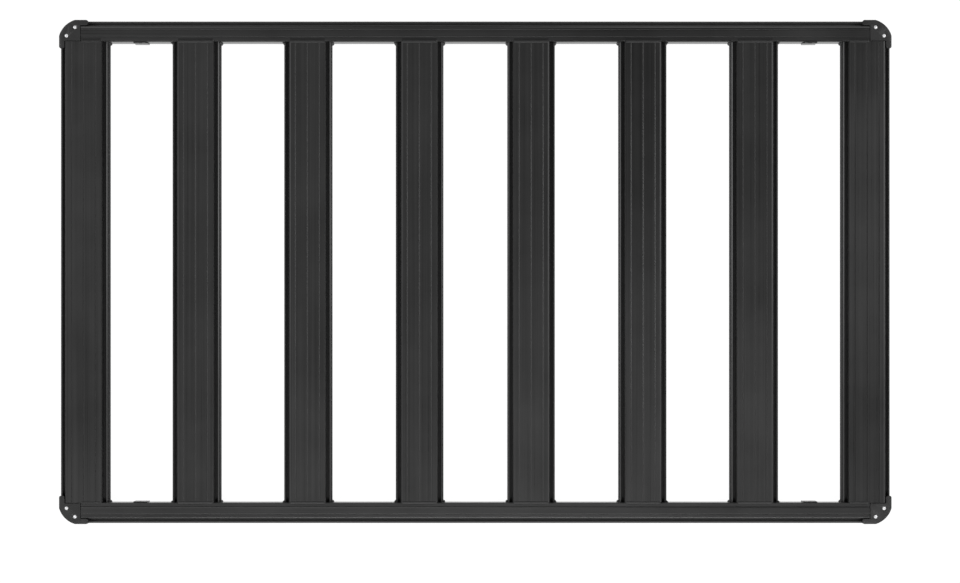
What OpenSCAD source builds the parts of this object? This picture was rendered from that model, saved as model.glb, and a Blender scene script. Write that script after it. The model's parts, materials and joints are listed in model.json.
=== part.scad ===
// Flat platform roof rack: hollow cross slats welded between two side rails.
// Every extrusion carries T-slots, and a cover in two halves closes each outer corner.
// The rack's length runs along X and its slats run along Y. It rests on four brackets at Z = 0.

/* [Platform] */
// Length over the outer faces of the end slats
rack_len = 2122; // [1500:1:2600]
// Width over the outer faces of the side rails
rack_wid = 1284; // [900:1:1600]
// Height of the slat and rail extrusions
profile_h = 40; // [36:0.5:50]

/* [Slat and rail sections] */
// Width of a slat's top plate
slat_plate_w = 95; // [80:0.5:110]
// Width of a rail's top plate
rail_plate_w = 39.4; // [36:0.2:60]
// Thickness of the plates, floors and webs
wall_t = 2.2; // [1.8:0.1:2.8]
// Radius of the small rounded edges
edge_r = 1.2; // [0.6:0.1:1.4]
// Radius of the top plates' edges beside the slots
plate_edge_r = 3; // [1:0.1:4]
// Width of the shallow grooves along the top plates
groove_w = 2.2; // [1.2:0.1:3]
// Depth of those grooves
groove_d = 0.4; // [0.2:0.05:0.6]
// Distance from a slat's middle groove to its outer grooves
slat_groove_pitch = 30.6; // [15:0.2:32]
// Distance from the edges of a rail's plate to its two grooves
rail_groove_inset = 10.6; // [6:0.2:15]

/* [T-slots] */
// Width of the slot's mouth, for a shank of 8 mm
slot_w = 8.4; // [6.4:0.1:9.4]
// Width of the lip outside each slot
lip_w = 4.8; // [4:0.1:7]
// Depth of the lips below the top plates
lip_drop = 11; // [6:0.5:12]
// Thickness of the lips
lip_t = 3; // [2:0.1:4]
// Radius of the lips' outer upper edges
lip_r = 2.2; // [0.6:0.1:3]
// Overhang of each lip over the chamber for a bolt head
lip_over = 2.4; // [1.8:0.1:2.8]
// Height of the chamber for a bolt head
chamber_h = 8; // [6:0.5:9]

/* [Corner covers] */
// How far the covers stand proud of the outer faces and the underside
cover_proud = 1.5; // [1.2:0.1:2.4]
// How far the covers stand above the top plates
cover_crown = 1; // [0.5:0.1:2]
// Clearance where the covers seat on the extrusions
cover_gap = 0.3; // [0.2:0.05:0.5]
// Open joint between the covers and the ends and edges of the top plates
joint_gap = 1.2; // [0.4:0.1:2]
// Radius of the rounded outer corner
cover_arc_r = 59.7; // [58:0.1:64]
// Distance of that arc's centre from both outer faces of the cover
cover_arc_in = 57.3; // [54:0.1:58]
// Length of the two arms beyond the corner block
arm_len = 19; // [12:0.2:40]
// Radius of the arms' end corners
arm_r = 4; // [1:0.2:6]
// Thickness of the cover's skin
cover_skin = 3; // [2.4:0.1:4]

/* [Cover screws] */
// Diameter of the screw shanks
screw_d = 5; // [4:0.5:6]
// Diameter of the screw heads
screw_head_d = 9.5; // [8:0.1:11]
// Height of the screw heads
screw_head_h = 2.75; // [2:0.05:3.2]
// Distance of each screw from the nearer outer face of the cover
screw_near = 18.5; // [15:0.1:21]
// Distance of each screw from the farther outer face of the cover
screw_far = 40.1; // [34:0.1:43]
// Length of the shanks below the heads
screw_len = 30; // [26:0.5:34]

/* [Mounting brackets] */
// Width of the brackets along the rails
bracket_w = 35; // [32:0.5:60]
// Thickness of the bracket plate
bracket_t = 2.5; // [2.4:0.1:6]
// Height of the upright leg against the rail's inner wall
bracket_h = 35; // [34:0.5:38]
// Distance of the foot leg's edge from the rail's outer face
bracket_inset = 12; // [4:0.5:18]
// Diameter of the hole for the mounting bolt
mount_hole_d = 9; // [6.6:0.1:11]

/* [Bracket screws] */
// Diameter of the countersunk screws
csk_d = 5; // [4:0.5:6]
// Diameter of the countersunk heads
csk_head_d = 9.6; // [8.6:0.1:10.4]
// Length of the countersunk screws
csk_len = 12; // [8:0.5:20]
// Spacing of the two screws in a bracket
csk_pitch = 18; // [14:0.5:20]
// Height of the screws above the rail's underside
csk_up = 27; // [20:0.5:28]

/* [Welds] */
// Width of the weld beads across the seams
bead_w = 8; // [5:0.2:10]
// Height of the weld beads above the plates
bead_h = 1; // [0.4:0.1:1]
// Leg of the upright welds in the corners of the gaps
fillet_leg = 3.6; // [2:0.1:5]

/* [Hidden] */
$fn = 48;
slat_count = 8;
corners = ["front_left", "front_right", "rear_left", "rear_right"];

alloy = "#2b2c2e";
cover_black = "#222325";
steel_black = "#1c1d1f";
stainless = "#c9cacc";
run_out = 1;
screw_play = 0.1;
csk_land = 0.2;

// Widths that follow from the slots: a channel lies outside every plate
channel_w = slot_w + lip_w;
chamber_w = slot_w + 2 * lip_over;
slat_w = slat_plate_w + 2 * channel_w;
rail_w = rail_plate_w + channel_w;

// Heights in a section, measured from its underside
lip_top = profile_h - lip_drop;
chamber_floor = lip_top - lip_t - chamber_h;
under_top = lip_t + chamber_h;

// Middle of the slot in a rail's underside, measured from the rail's outer face
under_u = channel_w + lip_over + 2 * wall_t + chamber_w / 2 + 5;

// Depth of the countersinks, which leaves a thin land under the heads
csk_depth = min((csk_head_d - csk_d) / 2, bracket_t - csk_land);

// Places in the whole rack
half_len = rack_len / 2;
half_wid = rack_wid / 2;
base_z = bracket_t;
slat_len = rack_wid - 2 * rail_w;
slat_pitch = (rack_len - slat_w) / (slat_count - 1);
rail_half = half_len - rail_w - joint_gap;
bracket_x = half_len - slat_w / 2 - slat_pitch / 2;

// Sizes of a cover: its block fills the corner, and its arms close the channels
block_x = rail_w + cover_proud;
block_y = rail_w + cover_proud - joint_gap;
arm_w = cover_proud + channel_w - joint_gap;
cover_top = profile_h + cover_crown;
cover_split = profile_h / 2;
screw_bore = screw_d + 2 * screw_play;
boss_d = screw_head_d + 4;

// Grooves in the plates, each cut by a round tool that dips below the surface
groove_arc_r = (pow(groove_w / 2, 2) + pow(groove_d, 2)) / (2 * groove_d);

// Weld seams: the plates are cut back by the root before the bead is laid
bead_root = wall_t - 0.4;
bead_arc_r = (pow(bead_w / 2, 2) + pow(bead_h, 2)) / (2 * bead_h);

function slat_x(i) = (i - (slat_count + 1) / 2) * slat_pitch;

// Ends of the seam along slat i, which stops where the rail ends
function seam_lo(i, half) = max(slat_x(i) - half, run_out - rail_half);
function seam_hi(i, half) = min(slat_x(i) + half, rail_half - run_out);

// Points of a rounded edge about its centre, from one angle to another
edge_steps = 5;
function rounded(u, v, r, from, to) = [
    for (k = [0 : edge_steps])
        let (a = from + (to - from) * k / edge_steps) [u + r * cos(a), v + r * sin(a)]
];

// Sections

module window(u0, v0, u1, v1) {
    translate([u0, v0]) square([u1 - u0, v1 - v0]);
}

module plate_groove(u) {
    translate([u, profile_h + groove_arc_r - groove_d]) circle(groove_arc_r);
}

// T-slot whose mouth runs from u = 0 to u = slot_w and opens upwards
module t_slot() {
    window(0, chamber_floor, slot_w, profile_h + run_out);
    window(-lip_over, chamber_floor, slot_w + lip_over, chamber_floor + chamber_h);
}

module slat_half_outline() {
    plate_u = slat_plate_w / 2;
    wall_u = slat_w / 2;
    polygon(concat(
        [[0, 0]],
        rounded(wall_u - edge_r, edge_r, edge_r, -90, 0),
        rounded(wall_u - lip_r, lip_top - lip_r, lip_r, 0, 90),
        [[plate_u, lip_top]],
        rounded(plate_u - plate_edge_r, profile_h - plate_edge_r, plate_edge_r, 0, 90),
        [[0, profile_h]]
    ));
}

// Half of a slat's section: a T-slot beside the plate, and closed chambers under it
module slat_half_section() {
    web_u = slat_plate_w / 2 - lip_over;
    rib_u = slat_groove_pitch - wall_t / 2;
    difference() {
        slat_half_outline();
        translate([slat_plate_w / 2, 0]) t_slot();
        window(web_u, wall_t, slat_w / 2 - lip_over, chamber_floor - wall_t);
        window(rib_u + wall_t, wall_t, web_u - wall_t, profile_h - wall_t);
        window(-run_out, wall_t, rib_u, profile_h - wall_t);
        for (u = [0, slat_groove_pitch]) plate_groove(u);
    }
}

module slat_section() {
    slat_half_section();
    mirror([1, 0]) slat_half_section();
}

module rail_outline() {
    polygon(concat(
        rounded(edge_r, edge_r, edge_r, 180, 270),
        rounded(rail_w - edge_r, edge_r, edge_r, -90, 0),
        rounded(rail_w - edge_r, profile_h - edge_r, edge_r, 0, 90),
        rounded(channel_w + plate_edge_r, profile_h - plate_edge_r, plate_edge_r, 90, 180),
        [[channel_w, lip_top]],
        rounded(lip_r, lip_top - lip_r, lip_r, 90, 180)
    ));
}

// A rail's section, from its outer face at u = 0 to its inner wall at u = rail_w
module rail_section() {
    web_u = channel_w + lip_over;
    under_wall_u = chamber_w / 2 + wall_t;
    difference() {
        rail_outline();
        translate([lip_w, 0]) t_slot();
        window(lip_w - lip_over, wall_t, web_u, chamber_floor - wall_t);
        window(web_u + wall_t, under_top + wall_t, rail_w - wall_t, profile_h - wall_t);
        window(web_u + wall_t, wall_t, under_u - under_wall_u, under_top);
        window(under_u + under_wall_u, wall_t, rail_w - wall_t, under_top);
        window(under_u - slot_w / 2, -run_out, under_u + slot_w / 2, under_top);
        window(under_u - chamber_w / 2, lip_t, under_u + chamber_w / 2, under_top);
        for (u = [channel_w + rail_groove_inset, rail_w - rail_groove_inset]) plate_groove(u);
    }
}

// Slats, rails and the welds between them

// Groove for the bead along slat i's seam in a plate, with its point on the seam line
module seam_groove(i, half) {
    lo = seam_lo(i, half);
    translate([lo, 0, 0]) rotate([90, 0, 90]) linear_extrude(seam_hi(i, half) - lo)
        polygon([[-bead_root, 0], [0, -bead_root], [bead_root, 0], [0, bead_root]]);
}

// The four seams' grooves of slat i: top and underside, at both rails
module seam_grooves(i) {
    for (side = [-1, 1]) translate([0, side * slat_len / 2, base_z]) {
        translate([0, 0, profile_h]) seam_groove(i, slat_plate_w / 2 - plate_edge_r);
        seam_groove(i, slat_w / 2 - edge_r);
    }
}

module slat(i) {
    color(alloy) difference() {
        translate([slat_x(i), slat_len / 2, base_z]) rotate([90, 0, 0])
            linear_extrude(slat_len) slat_section();
        seam_grooves(i);
    }
}

// The right rail, whose inner wall faces +Y
module rail() {
    color(alloy) difference() {
        translate([-rail_half, -half_wid, base_z]) rotate([90, 0, 90])
            linear_extrude(2 * rail_half) rail_section();
        for (i = [1 : slat_count]) seam_grooves(i);
        for (sx = [-1, 1], k = [-1, 1])
            translate([sx * bracket_x + k * csk_pitch / 2, -half_wid + rail_w + run_out, base_z + csk_up])
            rotate([90, 0, 0]) cylinder(d = csk_d + 2 * screw_play, h = wall_t + 2 * run_out);
    }
}

// Weld bead along slat i's seam: a filled groove under a low round cap
module bead(i, half) {
    lo = seam_lo(i, half);
    translate([lo, 0, 0]) rotate([90, 0, 90]) linear_extrude(seam_hi(i, half) - lo) {
        polygon([[-bead_root, 0], [0, -bead_root], [bead_root, 0]]);
        intersection() {
            translate([0, bead_h - bead_arc_r]) circle(bead_arc_r, $fn = 96);
            window(-bead_w / 2, 0, bead_w / 2, bead_h);
        }
    }
}

// Upright weld in the corner between a slat's outer wall and a rail's inner wall
module upright_weld() {
    translate([0, 0, edge_r]) linear_extrude(lip_top - edge_r - lip_r)
        polygon([[0, 0], [fillet_leg, 0], [0, fillet_leg]]);
}

module slat_welds(i) {
    color(alloy) for (side = [0, 1]) mirror([0, side, 0]) translate([0, -slat_len / 2, base_z]) {
        translate([0, 0, profile_h]) bead(i, slat_plate_w / 2 - plate_edge_r);
        mirror([0, 0, 1]) bead(i, slat_w / 2 - edge_r);
        if (i < slat_count) translate([slat_x(i) + slat_w / 2, 0, 0]) upright_weld();
        if (i > 1) translate([slat_x(i) - slat_w / 2, 0, 0]) mirror([1, 0, 0]) upright_weld();
    }
}

// Corner covers, drawn for the rear right corner: their outer corner is the origin of x and y

module arm_outline(reach) {
    end = reach + arm_len;
    polygon(concat(
        [[reach - run_out, arm_w], [reach - run_out, 0]],
        rounded(end - arm_r, arm_r, arm_r, -90, 0),
        rounded(end - arm_r, arm_w - arm_r, arm_r, 0, 90)
    ));
}

// Both arms, cut to a strip of the given width along the outer faces
module arms(width) {
    intersection() {
        arm_outline(block_x);
        square([block_x + arm_len, width]);
    }
    intersection() {
        mirror([1, -1]) arm_outline(block_y);
        square([width, block_y + arm_len]);
    }
}

// The corner block's outline, drawn in by the given amount
module block_outline(inset) {
    intersection() {
        window(inset, inset, block_x - inset, block_y - inset);
        translate([cover_arc_in, cover_arc_in]) circle(cover_arc_r - inset, $fn = 96);
    }
}

module screw_places() {
    translate([screw_near, screw_far]) children();
    translate([screw_far, screw_near]) children();
}

// The hollow of a block, with a boss left round each screw
module block_hollow(height) {
    linear_extrude(height) difference() {
        block_outline(cover_skin);
        screw_places() circle(d = boss_d);
    }
}

module cover_top() {
    skirt_t = cover_proud - cover_gap;
    arm_floor = lip_top + cover_gap;
    color(cover_black) difference() {
        union() {
            translate([0, 0, cover_split]) linear_extrude(cover_top - cover_split) {
                block_outline(0);
                arms(skirt_t);
            }
            translate([0, 0, arm_floor]) linear_extrude(cover_top - arm_floor) arms(arm_w);
        }
        translate([0, 0, cover_split - run_out])
            block_hollow(cover_top - cover_skin - cover_split + run_out);
        screw_places() translate([0, 0, cover_split - run_out]) cylinder(d = screw_bore, h = profile_h);
        screw_places() translate([0, 0, cover_top - screw_head_h])
            cylinder(d = screw_head_d + 2 * cover_gap, h = screw_head_h + run_out);
    }
}

module cover_bottom() {
    skirt_t = cover_proud - cover_gap;
    color(cover_black) difference() {
        union() {
            translate([0, 0, -cover_proud]) linear_extrude(cover_split + cover_proud) {
                block_outline(0);
                arms(skirt_t);
            }
            translate([0, 0, -cover_proud]) linear_extrude(skirt_t) arms(arm_w);
        }
        translate([0, 0, cover_skin - cover_proud])
            block_hollow(cover_split + cover_proud - cover_skin + run_out);
        screw_places() translate([0, 0, cover_top - screw_head_h - screw_len - run_out])
            cylinder(d = screw_bore, h = profile_h);
    }
}

// Button-head screws with hexagon sockets
module cover_screws() {
    socket_af = 0.6 * screw_d;
    color(stainless) screw_places() translate([0, 0, cover_top - screw_head_h]) difference() {
        union() {
            translate([0, 0, -screw_len]) cylinder(d = screw_d, h = screw_len + run_out);
            rotate_extrude() polygon(concat(
                [[0, 0], [screw_head_d / 2, 0]],
                [for (a = [20 : 10 : 80]) [screw_head_d / 2 * cos(a) / cos(20), screw_head_h * sin(a) / sin(80)]],
                [[0, screw_head_h]]
            ));
        }
        translate([0, 0, screw_head_h / 3]) cylinder(d = socket_af / cos(30), h = screw_head_h, $fn = 6);
    }
}

// Mounting brackets, drawn for the right rail: x = 0 is the bracket's middle, y = 0 the rail's outer face

module bracket_leg_outline(reach) {
    half = bracket_w / 2;
    polygon(concat(
        [[-half, 0], [half, 0]],
        rounded(half - arm_r, reach - arm_r, arm_r, 0, 90),
        rounded(arm_r - half, reach - arm_r, arm_r, 90, 180)
    ));
}

module bracket() {
    heel_y = rail_w + bracket_t;
    color(steel_black) difference() {
        union() {
            translate([0, heel_y, 0]) mirror([0, 1, 0])
                linear_extrude(bracket_t) bracket_leg_outline(heel_y - bracket_inset);
            translate([0, heel_y, 0]) rotate([90, 0, 0])
                linear_extrude(bracket_t) bracket_leg_outline(base_z + bracket_h);
        }
        translate([0, under_u, -run_out]) cylinder(d = mount_hole_d, h = bracket_t + 2 * run_out);
        for (k = [-1, 1]) translate([k * csk_pitch / 2, heel_y, base_z + csk_up]) rotate([90, 0, 0]) {
            translate([0, 0, -run_out]) cylinder(d = csk_d + 2 * screw_play, h = bracket_t + 2 * run_out);
            cylinder(d1 = csk_head_d + 2 * screw_play, d2 = csk_d + 2 * screw_play, h = csk_depth);
        }
        // Round outside of the bend
        translate([-bracket_w / 2 - run_out, heel_y, 0]) rotate([90, 0, 90]) linear_extrude(bracket_w + 2 * run_out)
            polygon(concat([[run_out, -run_out], [-bracket_t, -run_out]], rounded(-bracket_t, bracket_t, bracket_t, -90, 0)));
    }
}

module bracket_screws() {
    color(stainless) for (k = [-1, 1])
        translate([k * csk_pitch / 2, rail_w + bracket_t, base_z + csk_up]) rotate([90, 0, 0]) difference() {
            union() {
                cylinder(d = csk_d, h = csk_len);
                cylinder(d1 = csk_head_d, d2 = csk_d, h = csk_depth);
            }
            translate([0, 0, -run_out]) cylinder(d = 0.6 * csk_d / cos(30), h = run_out + csk_depth / 2, $fn = 6);
        }
}

// Placing: the rear right corner and the right rail are drawn, and the others are mirrored from them

function is_front(corner) = corner == 0 || corner == 1;
function is_left(corner) = corner == 0 || corner == 2;

module mirrored(corner) {
    mirror([is_front(corner) ? 1 : 0, 0, 0]) mirror([0, is_left(corner) ? 1 : 0, 0]) children();
}

module at_corner(corner) {
    mirrored(corner) translate([-half_len - cover_proud, -half_wid - cover_proud, base_z]) children();
}

module at_bracket(corner) {
    mirrored(corner) translate([-bracket_x, -half_wid, 0]) children();
}

for (i = [1 : slat_count]) {
    slat(i);
    slat_welds(i);
}
mirror([0, 1, 0]) rail();  // left_rail
rail();  // right_rail
for (c = [0 : 3]) {
    at_corner(c) cover_top();
    at_corner(c) cover_bottom();
    at_corner(c) cover_screws();
    at_bracket(c) bracket();
    at_bracket(c) bracket_screws();
}
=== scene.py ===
# Flat platform roof rack: black finishes, rippled weld beads, soft edges, studio light and camera.
import json
import math

import bpy
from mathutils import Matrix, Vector

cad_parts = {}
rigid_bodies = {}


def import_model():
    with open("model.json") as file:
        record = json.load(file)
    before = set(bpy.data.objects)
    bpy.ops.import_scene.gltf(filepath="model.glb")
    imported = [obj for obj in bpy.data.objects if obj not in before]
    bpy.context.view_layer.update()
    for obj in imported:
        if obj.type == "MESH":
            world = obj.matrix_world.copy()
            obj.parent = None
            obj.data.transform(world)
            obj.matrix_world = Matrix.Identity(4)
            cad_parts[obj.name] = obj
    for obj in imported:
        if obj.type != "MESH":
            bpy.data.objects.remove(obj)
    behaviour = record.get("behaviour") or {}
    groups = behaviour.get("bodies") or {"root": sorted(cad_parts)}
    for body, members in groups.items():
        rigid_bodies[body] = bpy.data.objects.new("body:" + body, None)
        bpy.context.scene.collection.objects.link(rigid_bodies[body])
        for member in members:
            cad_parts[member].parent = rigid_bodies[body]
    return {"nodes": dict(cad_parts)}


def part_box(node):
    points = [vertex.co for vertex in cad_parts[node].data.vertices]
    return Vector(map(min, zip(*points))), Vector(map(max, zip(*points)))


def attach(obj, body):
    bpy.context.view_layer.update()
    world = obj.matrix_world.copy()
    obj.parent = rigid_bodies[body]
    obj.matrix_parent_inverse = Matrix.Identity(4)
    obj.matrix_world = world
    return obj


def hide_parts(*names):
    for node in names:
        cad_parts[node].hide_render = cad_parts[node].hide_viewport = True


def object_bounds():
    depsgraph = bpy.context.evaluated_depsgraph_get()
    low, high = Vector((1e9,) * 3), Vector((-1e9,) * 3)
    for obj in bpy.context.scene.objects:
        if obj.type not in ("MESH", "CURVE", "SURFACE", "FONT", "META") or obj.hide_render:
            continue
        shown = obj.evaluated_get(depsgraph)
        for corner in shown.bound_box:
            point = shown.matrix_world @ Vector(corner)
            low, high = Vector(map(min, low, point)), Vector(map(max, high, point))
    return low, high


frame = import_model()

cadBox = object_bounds()
nodes = frame["nodes"]
mm = 0.001
cornerNames = ["front_left", "front_right", "rear_left", "rear_right"]
slatCount = 8
slatNames = [f"slat_{number}" for number in range(1, slatCount + 1)]
railNames = ["left_rail", "right_rail"]
slatLow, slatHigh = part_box("slat_4")
topZ, bottomZ = slatHigh.z, slatLow.z
slatHalf = (slatHigh.x - slatLow.x) / 2
slatPitch = (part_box(slatNames[-1])[0].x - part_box(slatNames[0])[0].x) / (slatCount - 1)
rackLength = (slatCount - 1) * slatPitch + 2 * slatHalf
seamY = slatHigh.y   # where the slats end on the left rail
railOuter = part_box("left_rail")[1].y
print("loaded", len(nodes), "nodes, top plates at", round(topZ, 4))


# Shader maths

class Wire:  # one socket of a material, so that shader maths reads as maths
    def __init__(self, tree, socket=None):
        self.tree, self.socket = tree, socket

    def add(self, kind, settings=None, inputs=None, out=0):
        node = self.tree.nodes.new(kind)
        for name, value in (settings or {}).items():
            if name == "stops":
                setStops(node.color_ramp, value)
            else:
                setattr(node, name, value)
        for name, value in (inputs or {}).items():
            if isinstance(value, Wire):
                self.tree.links.new(value.socket, node.inputs[name])
            else:
                node.inputs[name].default_value = value
        return Wire(self.tree, node.outputs[out] if len(node.outputs) else None)

    def maths(self, operation, first, second):
        return self.add("ShaderNodeMath", {"operation": operation}, {0: first, 1: second})

    def __add__(self, other):
        return self.maths("ADD", self, other)

    def __radd__(self, other):
        return self.maths("ADD", other, self)

    def __sub__(self, other):
        return self.maths("SUBTRACT", self, other)

    def __rsub__(self, other):
        return self.maths("SUBTRACT", other, self)

    def __mul__(self, other):
        return self.maths("MULTIPLY", self, other)

    def __rmul__(self, other):
        return self.maths("MULTIPLY", other, self)

    def __pow__(self, other):
        return self.maths("POWER", self, other)

    def __abs__(self):
        return self.maths("ABSOLUTE", self, 0.0)

    def __lt__(self, other):
        return self.maths("LESS_THAN", self, other)

    def __gt__(self, other):
        return self.maths("GREATER_THAN", self, other)

    def near(self, middle, reach):
        return self.add("ShaderNodeMath", {"operation": "COMPARE"}, {0: self, 1: middle, 2: reach})


def setStops(band, stops):
    while len(band.elements) < len(stops):
        band.elements.new(1.0)
    for element, (place, level) in zip(band.elements, stops):
        element.position = place
        element.color = (level, level, level, 1)


def newMaterial(name, fixed):
    # a material with one Principled shader, its constants set on the shader's own sockets
    material = bpy.data.materials.new(name)
    material.use_nodes = True
    tree = material.node_tree
    shader = tree.nodes["Principled BSDF"]
    for socket, value in fixed.items():
        shader.inputs[socket].default_value = value
    return material, Wire(tree), shader


def plug(shader, links):
    for socket, wire in links.items():
        wire.tree.links.new(wire.socket, shader.inputs[socket])


def noise(wire, place, scale, detail=2.0, rough=0.5):
    return wire.add("ShaderNodeTexNoise", None, {
        "Vector": place, "Scale": scale, "Detail": detail, "Roughness": rough})


def stretched(wire, scales=(1, 1, 1), turn=(0, 0, 0)):
    # object coordinates in metres, squeezed along the lines of the finish
    place = wire.add("ShaderNodeTexCoord", out=3)
    return wire.add("ShaderNodeMapping", None, {"Vector": place, "Scale": scales, "Rotation": turn})


def ramp(wire, level, stops):
    return wire.add("ShaderNodeValToRGB", {"stops": stops}, {"Fac": level})


def between(wire, factor, dark, light):
    # a colour between two others, each of which may come from another mix
    mix = wire.tree.nodes.new("ShaderNodeMix")
    mix.data_type = "RGBA"
    for socket, colour in (("A", dark), ("B", light)):
        if isinstance(colour, Wire):
            wire.tree.links.new(colour.socket, mix.inputs[socket])
        else:
            mix.inputs[socket].default_value = (*colour, 1)
    wire.tree.links.new(factor.socket, mix.inputs["Factor"])
    return Wire(wire.tree, mix.outputs["Result"])


def axes(wire, place):
    return [wire.add("ShaderNodeSeparateXYZ", None, {"Vector": place}, out=number)
            for number in range(3)]


def acrossSlat(wire, x):
    # distance from the middle line of the nearest slat, towards the front
    return (wire.maths("FRACT", x * (1 / slatPitch), 0.0) - 0.5) * slatPitch


def riseOf(z):
    # height, from 0 at the slats' underside to 1 at their top plates
    return (z - bottomZ) * (1 / (topZ - bottomZ))


def forwardOf(x):
    # place along the rack, from 0 at its rear end to 1 at its front end
    return x * (1 / rackLength) + 0.5


def bumped(wire, strength, depth, height):
    return wire.add("ShaderNodeBump", None, {
        "Strength": strength, "Distance": depth, "Height": height})


def grey(level):
    return (level, level, level)


# Sizes of the weld beads

bead = {
    "halfWidth": 4.0 * mm,
    "halfRipple": 2.5 * mm,
    "halfHeight": 0.85 * mm,
    "pitch": 2.1 * mm,
    "lean": 0.2,              # lean of the ripples, in radians
    "segments": 14,
    "rings": 8,
    "plateHalf": 44.5 * mm,   # half of the seam on a slat's top plate
    "underHalf": 59.5 * mm,   # half of the seam on its underside
    "railEnd": 1.0 * mm,      # seams stop this far from a rail's end
    "cornerHalf": 4.8 * mm,   # upright welds in the corners of the gaps
    "cornerPitch": 1.7 * mm,
    "cornerEnds": (1.2 * mm, 26.8 * mm),   # above the slats' underside
}


# Finishes: stops are pairs of a place from 0 to 1 and the value there

extrusionFinish = {
    "dark": grey(0.0092),
    "light": grey(0.0386),
    "specular": 0.50,
    "finePerMetre": 640,      # die lines across the extrusion
    "streaksPerMetre": 150,   # wide streaks across it
    "drift": 0.9,             # both, along the extrusion
    "smudgeScale": 7.0,
    "broadScale": 1.3,
    "grainScale": 2600.0,
    "dustScale": 1500.0,
    "dustStops": [(0.70, 0.0), (0.78, 1.0)],
    # what each of them gives to the tone, the roughness and the bump
    "tone": {"fine": 0.20, "streaks": 0.30, "smudge": 0.25, "broad": 0.25, "dust": 0.25},
    "uneven": {"fine": 0.16, "streaks": 0.12, "smudge": 0.14},
    "bump": {"fine": 0.7, "grain": 0.3},
    "toneStops": [(0.25, 0.05), (0.70, 1.0)],
    "toneLevel": 0.9,
    "bumpStrength": 0.22,
    "bumpDepth": 0.12 * mm,
    # painted light and shade: patches where the coat is lighter or darker as the reflections fall: x, y
    # and reach in metres, and how much lighter or darker they are
    "paintedLightPatches": [
        (0.43, 0.54, 0.62, -0.38),
        (-0.575, -0.38, 0.36, 0.24),
        (0.72, -0.36, 0.30, 0.26),
        (1.01, 0.06, 0.40, 0.30),
        (1.01, -0.36, 0.30, -0.30),
        (-0.98, -0.62, 0.26, 0.45),
        (0.80, -0.64, 0.38, -0.36),
        (0.98, 0.62, 0.20, -0.35),
    ],
    "patchSqueeze": 2.0,      # patches are shorter along the rack than across it
}

slatFinish = {
    # roughness by height, with a dull coat in the slots
    "roughness": [(0.0, 0.78), (0.03, 0.78), (0.05, 1.0), (0.42, 1.0), (0.43, 0.76), (0.47, 0.76),
                  (0.48, 1.0), (0.70, 1.0), (0.708, 0.25), (0.985, 0.25), (0.99, 0.32)],
    # tone by height, with painted shade: darkest on the walls, a little lighter on the floors of the
    # slots
    "shade": [(0.03, 0.4), (0.05, 0.0), (0.42, 0.0), (0.43, 0.6), (0.47, 0.6), (0.48, 0.0),
              (0.70, 0.0), (0.723, 1.0)],
    "plateLevel": 0.95,       # the top plate lies above this height
    "plateHalf": 47.5 * mm,
    "rimShade": [(0.925, 0.0), (0.965, 0.55), (0.985, 1.0)],   # painted shade on the rounding of the plates' edges, which is also made duller
    "rimDull": 0.5,
    # painted highlight and shade in the grooves, whose tone goes from the rear slat to the front one
    # and from the right rail to the left one
    "paintedShadeGrey": grey(0.001),
    "grooveHighlightGrey": grey(0.0465),
    "grooveReach": 1.1 * mm,
    "groovePitch": 30.6 * mm,
    "grooveAlong": [(0.05, 0.20), (0.16, 0.60), (0.55, 0.75), (0.70, 1.0), (0.84, 0.40), (0.95, 0.0)],
    "grooveAcross": [(0.0, 0.95), (0.2, 1.0), (0.75, 1.0), (0.93, 0.30)],
    "groovePlain": 0.75,      # tone of a groove that is as rough as the plate
    "grooveDull": 0.5,        # how much rougher the darker ones are
    # painted highlights on the lips that face the rack's middle, from the middle slats to the outer
    # ones
    "litLipGrey": grey(0.190),
    "lipInset": 3.5 * mm,
    "lipReach": 1.3 * mm,
    "lipLevel": (0.725, 0.004),
    "lipAlong": [(0.13, 0.43), (0.40, 0.66), (0.67, 1.0), (0.94, 0.66)],
    # painted highlights on the edges of the plates that face the rack's ends, from the rear slat to the
    # front one
    "edgeHighlightGrey": grey(0.120),
    "edgePlace": 43.4 * mm,   # from the slat's middle line
    "edgeReach": 0.8 * mm,
    "edgeAlong": [(0.04, 0.0), (0.16, 0.25), (0.30, 0.60), (0.43, 0.30), (0.57, 0.9), (0.70, 1.0)],
    # share of both painted highlights, from the right rail to the left one
    "highlightAcross": [(0.0, 0.35), (0.25, 0.42), (0.60, 1.0), (1.0, 0.92)],
}

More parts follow.
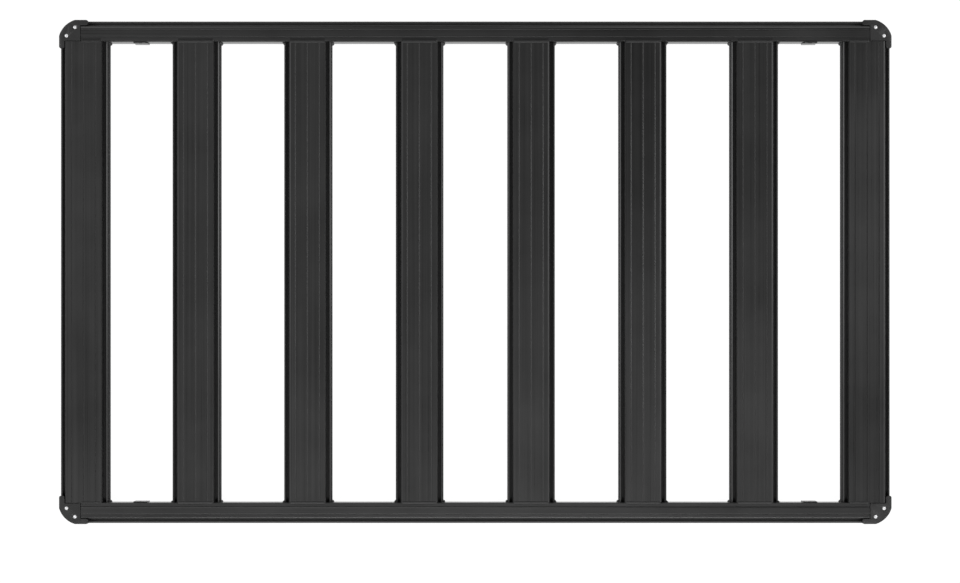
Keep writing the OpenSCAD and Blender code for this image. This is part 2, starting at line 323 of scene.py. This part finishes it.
railFinish = {
    # roughness by height
    "roughness": [(0.0, 0.16), (0.64, 0.16), (0.70, 0.70), (0.92, 0.70), (0.96, 0.32), (1.0, 0.32)],
    "plateLevel": 0.93,
    "litChannelGrey": grey(0.081),   # painted light in the slot, measured from the rail's outer face
    "channelPlace": 9.0 * mm,
    "channelReach": 4.2 * mm,
    "channelTop": 0.74,
    # painted light on the rails' lips
    "litLipGrey": grey(0.046),
    "lipPlace": 3.5 * mm,
    "lipReach": 1.3 * mm,
    "lipLevel": (0.725, 0.02),
    # painted highlights and shade as lines along the plates: rail, place from its outer face, half
    # width, where it shows, and its tone from the rear end to the front one
    "lines": [
        ("left", 14.35 * mm, 1.15 * mm, "all", [(0.0, 0.05), (1.0, 0.05)]),
        ("left", 16.7 * mm, 1.2 * mm, "all", [(0.0, 0.9), (0.12, 0.8), (0.25, 0.5), (0.38, 0.15),
                                             (0.50, 0.2), (0.62, 0.6), (0.72, 0.9), (0.95, 0.8)]),
        ("left", 47.0 * mm, 1.4 * mm, "slats", [(0.0, 0.0), (1.0, 0.0)]),
        ("left", 51.3 * mm, 1.3 * mm, "gaps", [(0.10, 0.20), (0.45, 0.10), (0.60, 0.0)]),
        ("right", 15.1 * mm, 1.2 * mm, "all", [(0.0, 0.45), (1.0, 0.45)]),
        ("right", 25.5 * mm, 1.2 * mm, "all", [(0.05, 0.42), (0.35, 0.38), (0.60, 0.30), (0.75, 0.22)]),
        ("right", 40.85 * mm, 1.2 * mm, "all", [(0.05, 0.45), (0.40, 0.45), (0.50, 0.30), (0.62, 0.20),
                                               (0.75, 0.0)]),
        ("right", 43.4 * mm, 1.2 * mm, "all", [(0.0, 0.0), (1.0, 0.0)]),
    ],
    "lineShadeGrey": grey(0.001),
    "lineHighlightGrey": grey(0.100),
    "linePlain": 0.4,         # tone of a line that is as rough as the plate
    "lineDull": 0.6,
}


def extrudedBlack(name, along, finish, detail):
    # satin black coat that shows the die lines of the extrusion
    look = extrusionFinish
    material, wire, shader = newMaterial(name, {"IOR": 1.5, "Specular IOR Level": look["specular"]})

    def lined(perMetre, octaves):
        drift = look["drift"]
        scales = (drift, perMetre, perMetre) if along == "X" else (perMetre, drift, perMetre)
        return noise(wire, stretched(wire, scales), 1.0, octaves, 0.6)

    fine = lined(look["finePerMetre"], 3.0)
    streaks = lined(look["streaksPerMetre"], 2.0)
    plain = stretched(wire)
    smudge = noise(wire, plain, look["smudgeScale"], 5.0, 0.55)
    broad = noise(wire, plain, look["broadScale"], 1.0)
    grain = noise(wire, plain, look["grainScale"], 1.0)
    dust = ramp(wire, noise(wire, plain, look["dustScale"], 1.0), look["dustStops"])
    share = look["tone"]
    tone = (fine * share["fine"] + streaks * share["streaks"]
            + smudge * share["smudge"] + broad * share["broad"])
    spread = ramp(wire, tone, look["toneStops"]) * look["toneLevel"] + dust * share["dust"]
    x, y, z = axes(wire, plain)
    # painted light and shade: lighter and darker patches where the reflections fall
    for patchX, patchY, reach, amount in look["paintedLightPatches"]:
        aside = ((x - patchX) ** 2 * look["patchSqueeze"] + (y - patchY) ** 2) ** 0.5
        spread = spread + ramp(wire, aside * (1 / reach), [(0.0, 1.0), (1.0, 0.0)]) * amount
    height = riseOf(z)
    share = look["uneven"]
    roughness = (ramp(wire, height, finish["roughness"]) + (fine - 0.5) * share["fine"]
                 + (streaks - 0.5) * share["streaks"] + (smudge - 0.5) * share["smudge"])
    share = look["bump"]
    bump = bumped(wire, look["bumpStrength"], look["bumpDepth"],
                  fine * share["fine"] + grain * share["grain"])
    colour, roughness = detail(wire, x, y, height, spread, roughness)
    plug(shader, {"Base Color": colour, "Roughness": roughness, "Normal": bump})
    return material


def slatDetail(wire, x, y, height, spread, roughness):
    # painted highlight and shade in the grooves along the rack, painted highlights on the lips and
    # edges, and painted shade on the rims and slots, which are also duller
    look = slatFinish
    across = acrossSlat(wire, x)
    aside = abs(across)
    forward = forwardOf(x)
    leftward = y * (1 / (2 * seamY)) + 0.5
    onPlate = height > look["plateLevel"]
    reach = look["grooveReach"]
    groove = (aside.near(0.0, reach) + aside.near(look["groovePitch"], reach)) * onPlate
    tone = ((ramp(wire, forward, look["grooveAlong"]) - 0.5)
            * ramp(wire, leftward, look["grooveAcross"]) + 0.5)
    # painted shade on the walls and in the slots, by height
    shade = spread * ramp(wire, height, look["shade"])
    # share of the painted highlights on lips and edges, from the right rail to the left one
    highlightShare = ramp(wire, leftward, look["highlightAcross"])
    # painted highlight on the lips that face the rack's middle
    litLip = ((across * x < 0.0) * aside.near(slatHalf - look["lipInset"], look["lipReach"])
           * height.near(*look["lipLevel"])
           * ramp(wire, abs(x) * (2 / rackLength), look["lipAlong"]) * highlightShare)
    # painted highlight on the plates' edges that face the rack's ends
    edgeHighlight = ((across * x > 0.0) * aside.near(look["edgePlace"], look["edgeReach"]) * onPlate
            * ramp(wire, forward, look["edgeAlong"]) * highlightShare)
    # painted shade on the rounded edges of the plates
    rimShade = ramp(wire, aside * (1 / look["plateHalf"]), look["rimShade"]) * onPlate
    # painted highlight and shade in the grooves
    grooveLightAndShade = between(wire, tone, look["paintedShadeGrey"], look["grooveHighlightGrey"])
    colour = between(wire, shade, extrusionFinish["dark"], extrusionFinish["light"])
    colour = between(wire, groove, colour, grooveLightAndShade)
    colour = between(wire, rimShade, colour, look["paintedShadeGrey"])
    colour = between(wire, edgeHighlight, colour, look["edgeHighlightGrey"])
    colour = between(wire, litLip, colour, look["litLipGrey"])
    roughness = roughness + groove * (look["groovePlain"] - tone) * look["grooveDull"]
    return colour, roughness + rimShade * look["rimDull"]


def railDetail(wire, x, y, height, spread, roughness):
    # painted light in the slots and on the lips, and lines of painted highlight and shade along the
    # plates
    look = railFinish
    # painted light in the rails' slots and on their lips
    litChannel = (abs(y).near(railOuter - look["channelPlace"], look["channelReach"])
               * (height < look["channelTop"]))
    litLip = (abs(y).near(railOuter - look["lipPlace"], look["lipReach"])
           * height.near(*look["lipLevel"]))
    colour = between(wire, spread, extrusionFinish["dark"], extrusionFinish["light"])
    colour = between(wire, litChannel, colour, look["litChannelGrey"])
    colour = between(wire, litLip, colour, look["litLipGrey"])
    onPlate = height > look["plateLevel"]
    aside = abs(acrossSlat(wire, x))
    places = {
        "all": onPlate,
        "slats": aside.near(0.0, bead["plateHalf"]) * onPlate,
        "gaps": (aside > slatHalf) * onPlate,
    }
    # lines of painted highlight and shade along the plates
    for rail, place, reach, where, stops in look["lines"]:
        middle = railOuter - place if rail == "left" else place - railOuter
        line = y.near(middle, reach) * places[where]
        tone = ramp(wire, forwardOf(x), stops)
        lineTone = between(wire, tone, look["lineShadeGrey"], look["lineHighlightGrey"])
        colour = between(wire, line, colour, lineTone)
        roughness = roughness + line * (look["linePlain"] - tone) * look["lineDull"]
    return colour, roughness


weldFinish = {
    "dark": grey(0.0133),
    "light": grey(0.0345),
    "specular": 0.3,
    "roughness": 0.44,
    "uneven": 0.3,
    "lumpScale": 260.0,
    "pitScale": 1900.0,
    "bumpStrength": 0.3,
    "bumpDepth": 0.25 * mm,
    "crestHighlight": grey(0.054),     # painted highlight: a lighter line along the seams
    "crestInset": (2.5 * mm, -0.4 * mm),   # from the left seam and from the right one, inwards
    "crestReach": 1.2 * mm,
    "crestOuter": 0.3,        # share of it on the first and the last slat
}


def coatedWeld():
    # black coat over lumpy ripples, with a painted highlight along the seams
    look = weldFinish
    material, wire, shader = newMaterial("coated weld", {"Specular IOR Level": look["specular"]})
    plain = stretched(wire)
    lumps = noise(wire, plain, look["lumpScale"], 3.0)
    pits = noise(wire, plain, look["pitScale"], 2.0)
    bump = bumped(wire, look["bumpStrength"], look["bumpDepth"], lumps * 0.7 + pits * 0.3)
    x, y = axes(wire, plain)[:2]
    leftInset, rightInset = look["crestInset"]
    # painted highlight along the crests of the seams
    crestHighlight = (y.near(seamY - leftInset, look["crestReach"])
             + y.near(rightInset - seamY, look["crestReach"]))
    outer = look["crestOuter"]
    innerSlats = abs(x) < (slatCount / 2 - 1) * slatPitch
    crestHighlight = crestHighlight * (innerSlats * (1 - outer) + outer)
    colour = between(wire, lumps, look["dark"], look["light"])
    plug(shader, {"Base Color": between(wire, crestHighlight, colour, look["crestHighlight"]),
                  "Roughness": look["roughness"] + (pits - 0.5) * look["uneven"], "Normal": bump})
    return material


coverFinish = {
    "dark": grey(0.0168),
    "light": grey(0.0320),
    "specular": 0.5,
    "roughness": 0.44,
    "uneven": 0.2,
    "grainScale": 1100.0,
    "softScale": 24.0,
    "scuffScale": 420.0,
    "scuffSqueeze": (1, 0.12, 1),
    "scuffTurn": (0, 0, 0.6),
    "scuffStops": [(0.66, 0.0), (0.74, 1.0)],
    "bumpStrength": 0.3,
    "bumpDepth": 0.2 * mm,
}


def mouldedCover():
    # fine leathery grain of a moulded cover, with a few light scuffs
    look = coverFinish
    material, wire, shader = newMaterial("moulded cover", {"Specular IOR Level": look["specular"]})
    plain = stretched(wire)
    cells = wire.add("ShaderNodeTexVoronoi", {"feature": "F1"},
                     {"Vector": plain, "Scale": look["grainScale"]})
    soft = noise(wire, plain, look["softScale"], 4.0)
    squeezed = stretched(wire, look["scuffSqueeze"], look["scuffTurn"])
    scuffs = ramp(wire, noise(wire, squeezed, look["scuffScale"], 3.0), look["scuffStops"])
    bump = bumped(wire, look["bumpStrength"], look["bumpDepth"], cells)
    plug(shader, {"Base Color": between(wire, soft * 0.8 + scuffs * 0.25, look["dark"], look["light"]),
                  "Roughness": look["roughness"] + (soft - 0.5) * look["uneven"], "Normal": bump})
    return material


bracketFinish = {
    "dark": grey(0.0096),
    "light": grey(0.02),
    "specular": 0.5,
    # by height above the slats' underside: the lower legs are as smooth as the rails' walls
    "roughness": [(0.0, 0.80), (0.04, 0.16), (0.50, 0.16), (0.62, 0.80)],
    "uneven": 0.2,
    "peelScale": 700.0,
    "softScale": 40.0,
    "bumpStrength": 0.3,
    "bumpDepth": 0.2 * mm,
}


def coatedSteel():
    # powder coat with a light orange peel
    look = bracketFinish
    material, wire, shader = newMaterial("coated steel", {"Specular IOR Level": look["specular"]})
    plain = stretched(wire)
    height = riseOf(axes(wire, plain)[2])
    peel = noise(wire, plain, look["peelScale"], 2.0)
    soft = noise(wire, plain, look["softScale"], 3.0)
    bump = bumped(wire, look["bumpStrength"], look["bumpDepth"], peel)
    roughness = ramp(wire, height, look["roughness"]) + (peel - 0.5) * look["uneven"]
    plug(shader, {"Base Color": between(wire, soft, look["dark"], look["light"]),
                  "Roughness": roughness, "Normal": bump})
    return material


# lit and shaded copies of one stainless steel: painted highlight for the cover screws, painted shade
# for the bracket screws
screwFinish = {
    "lit screw": {"metallic": 0.35, "roughness": 0.42,
                     "dark": (0.92, 0.93, 0.94), "light": (0.98, 0.98, 0.99)},
    "shaded screw": {"metallic": 1.0, "roughness": 0.50,
                   "dark": (0.10, 0.10, 0.105), "light": (0.16, 0.16, 0.165)},
}


def screwSteel(name):
    # stainless steel with faint turning marks, in a lit copy with painted highlight in the covers and a
    # shaded copy with painted shade in the brackets
    look = screwFinish[name]
    material, wire, shader = newMaterial(name, {"Metallic": look["metallic"]})
    plain = stretched(wire)
    marks = noise(wire, plain, 2400.0, 2.0)
    soft = noise(wire, plain, 300.0, 2.0)
    bump = bumped(wire, 0.15, 0.05 * mm, marks)
    plug(shader, {"Base Color": between(wire, soft, look["dark"], look["light"]),
                  "Roughness": look["roughness"] + (marks - 0.5) * 0.2, "Normal": bump})
    return material


slatBlack = extrudedBlack("slat black", "Y", slatFinish, slatDetail)
railBlack = extrudedBlack("rail black", "X", railFinish, railDetail)
weldBlack = coatedWeld()
coverBlack = mouldedCover()
bracketBlack = coatedSteel()
screwLit = screwSteel("lit screw")
screwShaded = screwSteel("shaded screw")


def dress(piece, material):
    slots = piece.data.materials
    slots.clear()
    slots.append(material)


for name in slatNames:
    dress(nodes[name], slatBlack)
for name in railNames:
    dress(nodes[name], railBlack)
for corner in cornerNames:
    dress(nodes[f"cover_screws_{corner}"], screwLit)
    dress(nodes[f"bracket_screws_{corner}"], screwShaded)
print("finishes are on")


# Weld beads: rows of overlapping ripples in place of the plain beads

def rippleRow(start, end, sizes, pitch, lean):
    # one ripple at the start, repeated up to the end
    way = Vector(end) - Vector(start)
    count = max(2, round(way.length / pitch) + 1)
    bpy.ops.object.select_all(action="DESELECT")
    bpy.ops.mesh.primitive_uv_sphere_add(segments=bead["segments"], ring_count=bead["rings"], radius=1,
                                         location=start, rotation=lean, scale=sizes)
    row = bpy.context.object
    bpy.ops.object.transform_apply(location=True, rotation=True, scale=True)
    array = row.modifiers.new("ripples", "ARRAY")
    array.use_relative_offset = False
    array.use_constant_offset = True
    array.constant_offset_displace = way / (count - 1)
    array.count = count
    bpy.ops.object.modifier_apply(modifier="ripples")
    bpy.ops.object.shade_smooth()
    return row


def joined(rows, name):
    bpy.ops.object.select_all(action="DESELECT")
    for row in rows:
        row.select_set(True)
    bpy.context.view_layer.objects.active = rows[0]
    bpy.ops.object.join()
    piece = bpy.context.object
    piece.name = name
    return piece


def weldsOf(number):
    # seams over and under both ends of a slat, and upright welds where it meets a gap
    least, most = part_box(f"slat_{number}")
    railLeast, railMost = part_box("right_rail")
    middle = (least.x + most.x) / 2
    first, last = railLeast.x + bead["railEnd"], railMost.x - bead["railEnd"]
    inset = bead["halfRipple"]
    sizes = (bead["halfRipple"], bead["halfWidth"], bead["halfHeight"])
    corner = (bead["cornerHalf"], bead["cornerHalf"], bead["cornerPitch"])
    rows = []
    for endY in (least.y, most.y):
        for level, half in ((most.z, bead["plateHalf"]), (least.z, bead["underHalf"])):
            start = (max(middle - half, first) + inset, endY, level)
            end = (min(middle + half, last) - inset, endY, level)
            rows.append(rippleRow(start, end, sizes, bead["pitch"], (0, bead["lean"], 0)))
        for wallX, atGap in ((least.x, number > 1), (most.x, number < slatCount)):
            if atGap:
                low, high = (least.z + height for height in bead["cornerEnds"])
                rows.append(rippleRow((wallX, endY, low + bead["cornerPitch"]),
                                      (wallX, endY, high - bead["cornerPitch"]),
                                      corner, bead["cornerPitch"], (bead["lean"], 0, 0)))
    piece = joined(rows, f"weldBeads{number}")
    dress(piece, weldBlack)
    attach(piece, "root")
    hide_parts(f"slat_welds_{number}")
    return piece


for number in range(1, slatCount + 1):
    piece = weldsOf(number)
print("weld beads are laid, each with about", len(piece.data.polygons), "faces")


# Covers and brackets with softened edges

softEdges = {
    "cover": {"width": 0.9 * mm, "segments": 3, "angle": 35},
    "bracket": {"width": 0.4 * mm, "segments": 2, "angle": 35},
}


def softened(nodeName, name, kind, material):
    # a copy of the node whose coplanar faces are merged and whose edges are rounded off
    edges = softEdges[kind]
    node = nodes[nodeName]
    bpy.ops.object.select_all(action="DESELECT")
    node.select_set(True)
    bpy.context.view_layer.objects.active = node
    bpy.ops.object.duplicate()
    piece = bpy.context.object
    bpy.ops.object.parent_clear(type="CLEAR_KEEP_TRANSFORM")
    bpy.ops.object.transform_apply(location=True, rotation=True, scale=True)
    piece.name = name
    bpy.ops.object.mode_set(mode="EDIT")
    bpy.ops.mesh.select_all(action="SELECT")
    bpy.ops.mesh.remove_doubles(threshold=0.01 * mm)
    bpy.ops.mesh.dissolve_limited(angle_limit=math.radians(1))
    bpy.ops.mesh.normals_make_consistent(inside=False)
    bpy.ops.object.mode_set(mode="OBJECT")
    bevel = piece.modifiers.new("softEdges", "BEVEL")
    bevel.width = edges["width"]
    bevel.segments = edges["segments"]
    bevel.limit_method = "ANGLE"
    bevel.angle_limit = math.radians(edges["angle"])
    bevel.use_clamp_overlap = True
    bpy.ops.object.modifier_apply(modifier="softEdges")
    bpy.ops.object.shade_smooth_by_angle(angle=math.radians(30))
    dress(piece, material)
    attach(piece, "root")
    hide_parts(nodeName)


for corner in cornerNames:
    tag = corner.title().replace("_", "")
    softened(f"cover_top_{corner}", f"coverTop{tag}", "cover", coverBlack)
    softened(f"cover_bottom_{corner}", f"coverBottom{tag}", "cover", coverBlack)
    softened(f"bracket_{corner}", f"bracket{tag}", "bracket", bracketBlack)
print("covers and brackets are softened")


# Studio

studio = {
    "floorSize": 40.0,
    "floorGrey": 0.86,       # its matt colour, which takes the shadow
    "floorWhite": 1.08,      # what the camera sees, where 1 is white
    "floorShade": 0.10,      # share of the floor's look that takes the shadow
    "fillLight": 0.40,       # what the world gives to the matt surfaces
    "cardWide": 12.0,        # room of dark cards that only reflections see
    "cardHigh": 5.4,
    "cardFoot": 0.25,
    "ceilingTone": 0.17,
    "wallTone": 0.05,
}


def seenDirectly(wire):
    # 1 for camera, mirror and glass rays, and 0 for the light that the world gives
    path = wire.tree.nodes.new("ShaderNodeLightPath")
    camera, glossy, glass = (Wire(wire.tree, path.outputs[name]) for name in
                             ("Is Camera Ray", "Is Glossy Ray", "Is Transmission Ray"))
    return wire.maths("MINIMUM", camera + glossy + glass, 1.0)


def makeWorld():
    world = bpy.data.worlds.new("studio")
    bpy.context.scene.world = world
    world.use_nodes = True
    wire = Wire(world.node_tree)
    background = world.node_tree.nodes["Background"]
    background.inputs["Color"].default_value = (1, 1, 1, 1)
    seen = seenDirectly(wire)
    strength = studio["fillLight"] + seen * (1 - studio["fillLight"])
    world.node_tree.links.new(strength.socket, background.inputs["Strength"])


def makeFloor():
    bpy.ops.object.select_all(action="DESELECT")
    bpy.ops.mesh.primitive_plane_add(size=studio["floorSize"], location=(0, 0, cadBox[0].z))
    floor = bpy.context.object
    floor.name = "studioFloor"
    bpy.ops.object.transform_apply()
    material = bpy.data.materials.new("studio floor")
    material.use_nodes = True
    tree = material.node_tree
    tree.nodes.clear()
    wire = Wire(tree)
    matt = wire.add("ShaderNodeBsdfDiffuse", None, {"Color": (*grey(studio["floorGrey"]), 1)})
    white = wire.add("ShaderNodeEmission", None,
                     {"Color": (1, 1, 1, 1), "Strength": studio["floorWhite"]})
    seen = seenDirectly(wire) * (1 - studio["floorShade"])
    top = wire.add("ShaderNodeMixShader", None, {0: seen, 1: matt, 2: white})
    # open from below, so that the rack's underside can be looked at
    behind = wire.add("ShaderNodeNewGeometry", out=6)
    clear = wire.add("ShaderNodeBsdfTransparent")
    both = wire.add("ShaderNodeMixShader", None, {0: behind, 1: top, 2: clear})
    wire.add("ShaderNodeOutputMaterial", None, {"Surface": both})
    floor.data.materials.append(material)


def makeCard(name, place, size, turn, tone):
    # a plain grey card that only reflections see
    bpy.ops.object.select_all(action="DESELECT")
    bpy.ops.mesh.primitive_plane_add(size=1, location=place, rotation=turn)
    card = bpy.context.object
    card.name = name
    card.scale = (*size, 1)
    bpy.ops.object.transform_apply(location=True, rotation=True, scale=True)
    material = bpy.data.materials.new(name)
    material.use_nodes = True
    material.node_tree.nodes.clear()
    wire = Wire(material.node_tree)
    glow = wire.add("ShaderNodeEmission", None, {"Color": (*grey(tone), 1), "Strength": 1.0})
    wire.add("ShaderNodeOutputMaterial", None, {"Surface": glow})
    card.data.materials.append(material)
    card.visible_camera = False
    card.visible_diffuse = False
    card.visible_shadow = False
    card.visible_transmission = False


def makeCards():
    wide, high, foot = studio["cardWide"], studio["cardHigh"], studio["cardFoot"]
    makeCard("ceilingCard", (0, 0, high), (wide, wide), (0, 0, 0), studio["ceilingTone"])
    for step, side in enumerate(("front", "left", "rear", "right")):
        turn = step * math.pi / 2
        place = (math.cos(turn) * wide / 2, math.sin(turn) * wide / 2, (high + foot) / 2)
        makeCard(side + "Card", place, (high - foot, wide), (0, math.pi / 2, turn), studio["wallTone"])


lamps = {
    "rearSoftbox": {"place": (-3.7, 0.6, 2.5), "aim": (-0.2, 0, 0), "size": (2.4, 2.2), "watts": 60},
    "frontSoftbox": {"place": (3.7, 0.8, 2.5), "aim": (0.2, 0, 0), "size": (2.4, 2.2), "watts": 60},
    "rightSoftbox": {"place": (0.2, -2.4, 3.6), "aim": (0, -0.1, 0), "size": (3.4, 1.2), "watts": 72},
}


def makeLamps():
    for name, lamp in lamps.items():
        light = bpy.data.lights.new(name, "AREA")
        light.shape = "RECTANGLE"
        light.size, light.size_y = lamp["size"]
        light.energy = lamp["watts"]
        holder = bpy.data.objects.new(name, light)
        bpy.context.scene.collection.objects.link(holder)
        holder.location = lamp["place"]
        aim = Vector(lamp["aim"]) - Vector(lamp["place"])
        holder.rotation_euler = aim.to_track_quat("-Z", "Y").to_euler()


# Camera: straight above the rack, framed as the photograph is

view = {
    "wide": 960,
    "high": 583,
    "pixel": 2.553 * mm,      # what one pixel covers at the top plates
    "height": 4.1,            # lens above the top plates
    "belowLens": (480.0, 350.0),   # pixel of the point straight below the lens
    "rackMiddle": (475.3, 272.0),  # pixel of the rack's middle
    "sensor": 36.0,
}


def makeCamera():
    lens = bpy.data.cameras.new("viewCamera")
    holder = bpy.data.objects.new("viewCamera", lens)
    bpy.context.scene.collection.objects.link(holder)
    lens.sensor_width = view["sensor"]
    lens.lens = view["sensor"] * view["height"] / (view["wide"] * view["pixel"])
    lens.shift_x = (view["wide"] / 2 - view["belowLens"][0]) / view["wide"]
    lens.shift_y = (view["belowLens"][1] - view["high"] / 2) / view["wide"]
    aside = (view["belowLens"][0] - view["rackMiddle"][0]) * view["pixel"]
    below = (view["belowLens"][1] - view["rackMiddle"][1]) * view["pixel"]
    holder.location = (aside, -below, topZ + view["height"])
    bpy.context.scene.camera = holder


makeWorld()
makeFloor()
makeCards()
makeLamps()
makeCamera()
bpy.context.scene.view_settings.view_transform = "Standard"
print("studio and camera are set")
